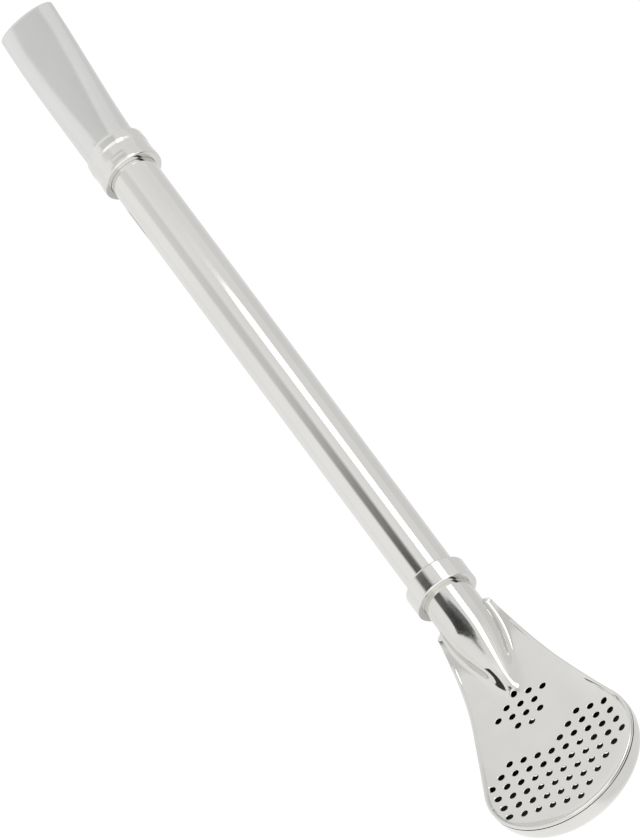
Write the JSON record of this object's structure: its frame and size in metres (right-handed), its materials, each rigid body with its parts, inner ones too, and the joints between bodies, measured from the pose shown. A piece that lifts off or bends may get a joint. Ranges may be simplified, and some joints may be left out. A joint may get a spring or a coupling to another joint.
{
  "type": "bombilla",
  "caption": "Metal mate straw: flattened mouthpiece, round stem with collars that unscrew, and a flat perforated strainer head bent forward.",
  "frame": {"origin": "middle of the straw's length and width, on the ground that its collars lie on", "axes": "+Y along the stem towards the mouth, +Z out of the strainer's front face side, +X to the right seen from the front with the mouth up"},
  "size_m": [0.025, 0.179, 0.0209],
  "materials": {
    "plated_tube": "polished",
    "plated_collar": "polished",
    "plated_head": "satin polished",
    "turned_nipple": "turned",
    "seal": "moulded"
  },
  "bodies": {
    "stem": {"stem_tube": "plated_tube", "lower_collar": "plated_collar", "stem_nipple": "turned_nipple"},
    "mouth_seal_ring": {"mouth_seal": "seal"},
    "mouthpiece": {"mouthpiece_tube": "plated_tube", "upper_collar": "plated_collar"},
    "head_seal_ring": {"head_seal": "seal"},
    "head": {"head_nipple": "turned_nipple", "front_plate": "plated_head", "back_shell": "plated_head"}
  },
  "joints": [
    {"name": "mouth_lift", "type": "slide", "parent": "stem", "child": "mouth_seal_ring", "axis": [0, 1, 0], "range_m": [0, 0.0045]},
    {"name": "mouth_turn", "type": "hinge", "parent": "mouth_seal_ring", "child": "mouthpiece", "pos_m": [0, 0.05429, 0.0051], "axis": [0, 1, 0], "range_deg": [0, 1620]},
    {"name": "head_lift", "type": "slide", "parent": "stem", "child": "head_seal_ring", "axis": [0, -1, 0], "range_m": [0, 0.0045]},
    {"name": "head_turn", "type": "hinge", "parent": "head_seal_ring", "child": "head", "pos_m": [0, -0.03881, 0.0051], "axis": [0, -1, 0], "range_deg": [0, 1620]}
  ],
  "couplings": [
    {"joint": "mouth_lift", "follows": "mouth_turn", "m_per_rad": 0.00015915},
    {"joint": "head_lift", "follows": "head_turn", "m_per_rad": 0.00015915}
  ]
}
